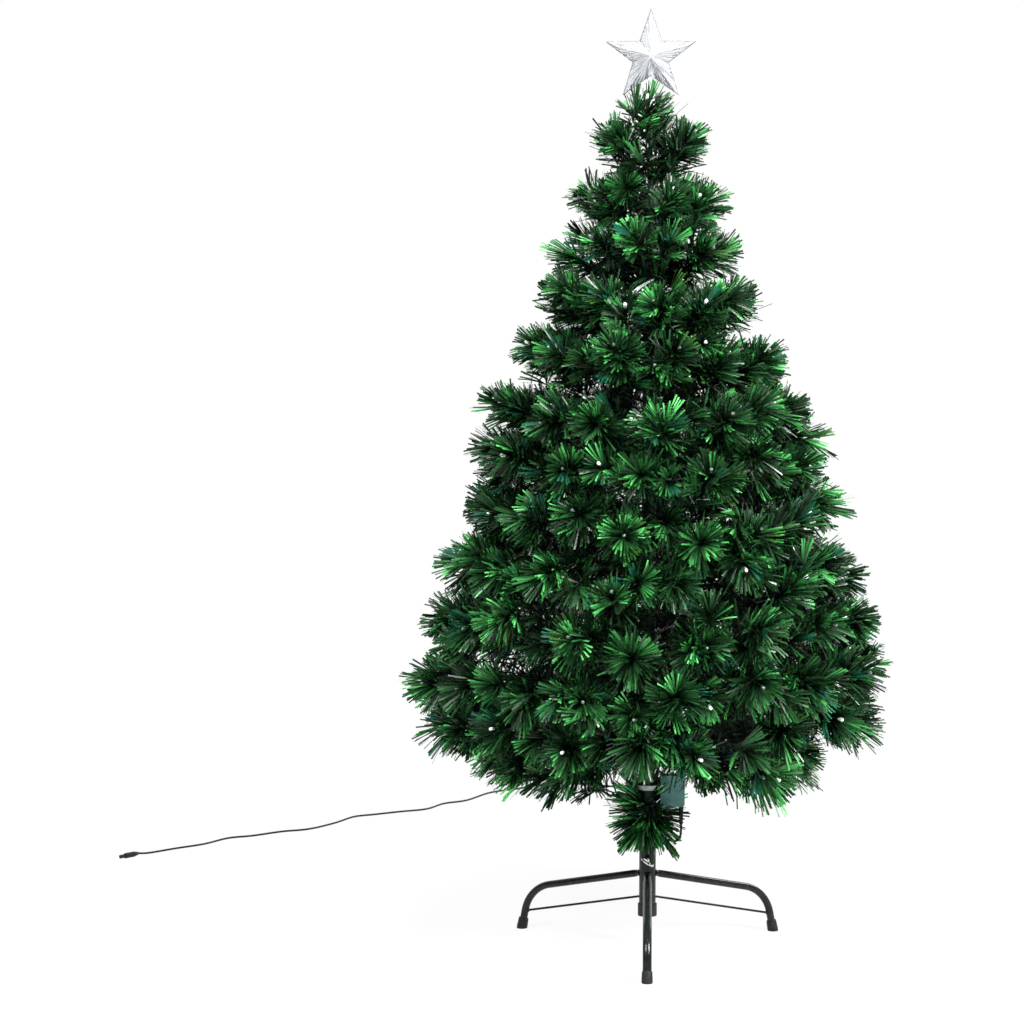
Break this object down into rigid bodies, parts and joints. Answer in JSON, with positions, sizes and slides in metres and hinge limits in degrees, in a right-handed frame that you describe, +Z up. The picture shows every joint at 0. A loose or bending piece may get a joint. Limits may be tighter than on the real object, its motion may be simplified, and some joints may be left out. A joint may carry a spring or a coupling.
{
  "type": "fiber optic christmas tree",
  "caption": "Slim artificial tree with needle rosettes on folding branches, a clear star on top, a light box on the pole and a three-leg stand with a clamp screw.",
  "frame": {"origin": "on the floor, under the middle of the foliage's and stand's common pole", "axes": "+Z up along the pole, -Y towards the front with the clamp screw, +X to the light box's side"},
  "size_m": [1.0892, 1.4593, 1.2002],
  "materials": {
    "black_paint": "gloss",
    "black_plastic": "satin",
    "chrome": "polished",
    "pole_paint": "satin",
    "tie_plastic": "satin",
    "box_plastic": "satin",
    "board": "satin",
    "needle_film": "satin",
    "clear_plastic": "gloss"
  },
  "bodies": {
    "stand": {"socket_tube": "black_paint", "tube_end_cap": "black_plastic", "screw_boss": "black_paint", "leg_front": "black_paint", "leg_left": "black_paint", "leg_right": "black_paint", "brace_front": "black_paint", "brace_left": "black_paint", "brace_right": "black_paint", "foot_front": "black_plastic", "foot_left": "black_plastic", "foot_right": "black_plastic", "power_cord": "black_plastic", "cord_plug": "black_plastic"},
    "screw_shank": {"screw_shank": "chrome"},
    "screw_eye": {"screw_eye": "chrome"},
    "trunk": {"trunk_pole": "pole_paint", "stem_tie": "tie_plastic", "light_box_front": "box_plastic", "light_box_back": "box_plastic", "light_board": "board", "lead_relief": "black_plastic", "box_lead": "black_plastic", "led_lead": "black_plastic", "cord_clip": "black_plastic", "trunk_garland": "needle_film", "leader_cluster": "needle_film"},
    "star": {"star_front": "clear_plastic", "star_back": "clear_plastic", "star_socket": "clear_plastic"},
    "branch_tier1_a": {"branch_tier1_a": "needle_film"},
    "branch_tier1_b": {"branch_tier1_b": "needle_film"},
    "branch_tier1_c": {"branch_tier1_c": "needle_film"},
    "branch_tier1_d": {"branch_tier1_d": "needle_film"},
    "branch_tier1_e": {"branch_tier1_e": "needle_film"},
    "branch_tier1_f": {"branch_tier1_f": "needle_film"},
    "branch_tier2_a": {"branch_tier2_a": "needle_film"},
    "branch_tier2_b": {"branch_tier2_b": "needle_film"},
    "branch_tier2_c": {"branch_tier2_c": "needle_film"},
    "branch_tier2_d": {"branch_tier2_d": "needle_film"},
    "branch_tier2_e": {"branch_tier2_e": "needle_film"},
    "branch_tier2_f": {"branch_tier2_f": "needle_film"},
    "branch_tier3_a": {"branch_tier3_a": "needle_film"},
    "branch_tier3_b": {"branch_tier3_b": "needle_film"},
    "branch_tier3_c": {"branch_tier3_c": "needle_film"},
    "branch_tier3_d": {"branch_tier3_d": "needle_film"},
    "branch_tier3_e": {"branch_tier3_e": "needle_film"},
    "branch_tier3_f": {"branch_tier3_f": "needle_film"},
    "branch_tier4_a": {"branch_tier4_a": "needle_film"},
    "branch_tier4_b": {"branch_tier4_b": "needle_film"},
    "branch_tier4_c": {"branch_tier4_c": "needle_film"},
    "branch_tier4_d": {"branch_tier4_d": "needle_film"},
    "branch_tier4_e": {"branch_tier4_e": "needle_film"},
    "branch_tier5_a": {"branch_tier5_a": "needle_film"},
    "branch_tier5_b": {"branch_tier5_b": "needle_film"},
    "branch_tier5_c": {"branch_tier5_c": "needle_film"},
    "branch_tier5_d": {"branch_tier5_d": "needle_film"},
    "branch_tier6_a": {"branch_tier6_a": "needle_film"},
    "branch_tier6_b": {"branch_tier6_b": "needle_film"},
    "branch_tier6_c": {"branch_tier6_c": "needle_film"}
  },
  "joints": [
    {"name": "trunk_lift", "type": "slide", "parent": "stand", "child": "trunk", "axis": [0, 0, 1], "range_m": [0, 0.09], "deforming": ["power_cord"]},
    {"name": "screw_travel", "type": "slide", "parent": "stand", "child": "screw_shank", "axis": [0, -1, 0], "range_m": [0, 0.004]},
    {"name": "screw_turn", "type": "hinge", "parent": "screw_shank", "child": "screw_eye", "pos_m": [0, -0.0309, 0.1165], "axis": [0, -1, 0], "range_deg": [0, 1801]},
    {"name": "star_pull", "type": "slide", "parent": "trunk", "child": "star", "axis": [0, 0, 1], "range_m": [0, 0.05]},
    {"name": "fold_tier1_a", "type": "hinge", "parent": "trunk", "child": "branch_tier1_a", "pos_m": [0.00872, 0.00352, 0.245], "axis": [0.3746, -0.9272, 0], "range_deg": [-8, 50], "deforming": ["branch_tier1_a"]},
    {"name": "fold_tier1_b", "type": "hinge", "parent": "trunk", "child": "branch_tier1_b", "pos_m": [0.00131, 0.00931, 0.245], "axis": [0.9903, -0.1392, 0], "range_deg": [-8, 50], "deforming": ["branch_tier1_b"]},
    {"name": "fold_tier1_c", "type": "hinge", "parent": "trunk", "child": "branch_tier1_c", "pos_m": [-0.00741, 0.00579, 0.245], "axis": [0.6157, 0.788, 0], "range_deg": [-8, 50], "deforming": ["branch_tier1_c"]},
    {"name": "fold_tier1_d", "type": "hinge", "parent": "trunk", "child": "branch_tier1_d", "pos_m": [-0.00872, -0.00352, 0.245], "axis": [-0.3746, 0.9272, 0], "range_deg": [-8, 50], "deforming": ["branch_tier1_d"]},
    {"name": "fold_tier1_e", "type": "hinge", "parent": "trunk", "child": "branch_tier1_e", "pos_m": [-0.00131, -0.00931, 0.245], "axis": [-0.9903, 0.1392, 0], "range_deg": [-8, 50], "deforming": ["branch_tier1_e"]},
    {"name": "fold_tier1_f", "type": "hinge", "parent": "trunk", "child": "branch_tier1_f", "pos_m": [0.00741, -0.00579, 0.245], "axis": [-0.6157, -0.788, 0], "range_deg": [-8, 50], "deforming": ["branch_tier1_f"]},
    {"name": "fold_tier2_a", "type": "hinge", "parent": "trunk", "child": "branch_tier2_a", "pos_m": [0.00939, 0.00033, 0.33477], "axis": [0.0349, -0.9994, 0], "range_deg": [-8, 50], "deforming": ["branch_tier2_a"]},
    {"name": "fold_tier2_b", "type": "hinge", "parent": "trunk", "child": "branch_tier2_b", "pos_m": [0.00441, 0.0083, 0.33477], "axis": [0.8829, -0.4695, 0], "range_deg": [-8, 50], "deforming": ["branch_tier2_b"]},
    {"name": "fold_tier2_c", "type": "hinge", "parent": "trunk", "child": "branch_tier2_c", "pos_m": [-0.00498, 0.00797, 0.33477], "axis": [0.848, 0.5299, 0], "range_deg": [-8, 50], "deforming": ["branch_tier2_c"]},
    {"name": "fold_tier2_d", "type": "hinge", "parent": "trunk", "child": "branch_tier2_d", "pos_m": [-0.00939, -0.00033, 0.33477], "axis": [-0.0349, 0.9994, 0], "range_deg": [-8, 50], "deforming": ["branch_tier2_d"]},
    {"name": "fold_tier2_e", "type": "hinge", "parent": "trunk", "child": "branch_tier2_e", "pos_m": [-0.00441, -0.0083, 0.33477], "axis": [-0.8829, 0.4695, 0], "range_deg": [-8, 50], "deforming": ["branch_tier2_e"]},
    {"name": "fold_tier2_f", "type": "hinge", "parent": "trunk", "child": "branch_tier2_f", "pos_m": [0.00498, -0.00797, 0.33477], "axis": [-0.848, -0.5299, 0], "range_deg": [-8, 50], "deforming": ["branch_tier2_f"]},
    {"name": "fold_tier3_a", "type": "hinge", "parent": "trunk", "child": "branch_tier3_a", "pos_m": [0.00699, 0.00629, 0.46503], "axis": [0.6691, -0.7431, 0], "range_deg": [-8, 50], "deforming": ["branch_tier3_a"]},
    {"name": "fold_tier3_b", "type": "hinge", "parent": "trunk", "child": "branch_tier3_b", "pos_m": [-0.00195, 0.0092, 0.46503], "axis": [0.9781, 0.2079, 0], "range_deg": [-8, 50], "deforming": ["branch_tier3_b"]},
    {"name": "fold_tier3_c", "type": "hinge", "parent": "trunk", "child": "branch_tier3_c", "pos_m": [-0.00894, 0.00291, 0.46503], "axis": [0.309, 0.9511, 0], "range_deg": [-8, 50], "deforming": ["branch_tier3_c"]},
    {"name": "fold_tier3_d", "type": "hinge", "parent": "trunk", "child": "branch_tier3_d", "pos_m": [-0.00699, -0.00629, 0.46503], "axis": [-0.6691, 0.7431, 0], "range_deg": [-8, 50], "deforming": ["branch_tier3_d"]},
    {"name": "fold_tier3_e", "type": "hinge", "parent": "trunk", "child": "branch_tier3_e", "pos_m": [0.00195, -0.0092, 0.46503], "axis": [-0.9781, -0.2079, 0], "range_deg": [-8, 50], "deforming": ["branch_tier3_e"]},
    {"name": "fold_tier3_f", "type": "hinge", "parent": "trunk", "child": "branch_tier3_f", "pos_m": [0.00894, -0.00291, 0.46503], "axis": [-0.309, -0.9511, 0], "range_deg": [-8, 50], "deforming": ["branch_tier3_f"]},
    {"name": "fold_tier4_a", "type": "hinge", "parent": "trunk", "child": "branch_tier4_a", "pos_m": [0.00931, 0.00131, 0.5952], "axis": [0.1392, -0.9903, 0], "range_deg": [-8, 50], "deforming": ["branch_tier4_a"]},
    {"name": "fold_tier4_b", "type": "hinge", "parent": "trunk", "child": "branch_tier4_b", "pos_m": [0.00163, 0.00926, 0.5952], "axis": [0.9848, -0.1736, 0], "range_deg": [-8, 50], "deforming": ["branch_tier4_b"]},
    {"name": "fold_tier4_c", "type": "hinge", "parent": "trunk", "child": "branch_tier4_c", "pos_m": [-0.0083, 0.00441, 0.5952], "axis": [0.4695, 0.8829, 0], "range_deg": [-8, 50], "deforming": ["branch_tier4_c"]},
    {"name": "fold_tier4_d", "type": "hinge", "parent": "trunk", "child": "branch_tier4_d", "pos_m": [-0.00676, -0.00653, 0.5952], "axis": [-0.6947, 0.7193, 0], "range_deg": [-8, 50], "deforming": ["branch_tier4_d"]},
    {"name": "fold_tier4_e", "type": "hinge", "parent": "trunk", "child": "branch_tier4_e", "pos_m": [0.00412, -0.00845, 0.5952], "axis": [-0.8988, -0.4384, 0], "range_deg": [-8, 50], "deforming": ["branch_tier4_e"]},
    {"name": "fold_tier5_a", "type": "hinge", "parent": "trunk", "child": "branch_tier5_a", "pos_m": [0.00883, 0.00321, 0.72479], "axis": [0.342, -0.9397, 0], "range_deg": [-8, 50], "deforming": ["branch_tier5_a"]},
    {"name": "fold_tier5_b", "type": "hinge", "parent": "trunk", "child": "branch_tier5_b", "pos_m": [-0.00321, 0.00883, 0.72479], "axis": [0.9397, 0.342, 0], "range_deg": [-8, 50], "deforming": ["branch_tier5_b"]},
    {"name": "fold_tier5_c", "type": "hinge", "parent": "trunk", "child": "branch_tier5_c", "pos_m": [-0.00883, -0.00321, 0.72479], "axis": [-0.342, 0.9397, 0], "range_deg": [-8, 50], "deforming": ["branch_tier5_c"]},
    {"name": "fold_tier5_d", "type": "hinge", "parent": "trunk", "child": "branch_tier5_d", "pos_m": [0.00321, -0.00883, 0.72479], "axis": [-0.9397, -0.342, 0], "range_deg": [-8, 50], "deforming": ["branch_tier5_d"]},
    {"name": "fold_tier6_a", "type": "hinge", "parent": "trunk", "child": "branch_tier6_a", "pos_m": [0.0094, 0, 0.85496], "axis": [0, -1, 0], "range_deg": [-8, 50], "deforming": ["branch_tier6_a"]},
    {"name": "fold_tier6_b", "type": "hinge", "parent": "trunk", "child": "branch_tier6_b", "pos_m": [-0.0047, 0.00814, 0.85496], "axis": [0.866, 0.5, 0], "range_deg": [-8, 50], "deforming": ["branch_tier6_b"]},
    {"name": "fold_tier6_c", "type": "hinge", "parent": "trunk", "child": "branch_tier6_c", "pos_m": [-0.0047, -0.00814, 0.85496], "axis": [-0.866, 0.5, 0], "range_deg": [-8, 50], "deforming": ["branch_tier6_c"]}
  ],
  "couplings": [
    {"joint": "screw_turn", "follows": "screw_travel", "rad_per_m": 7854}
  ]
}
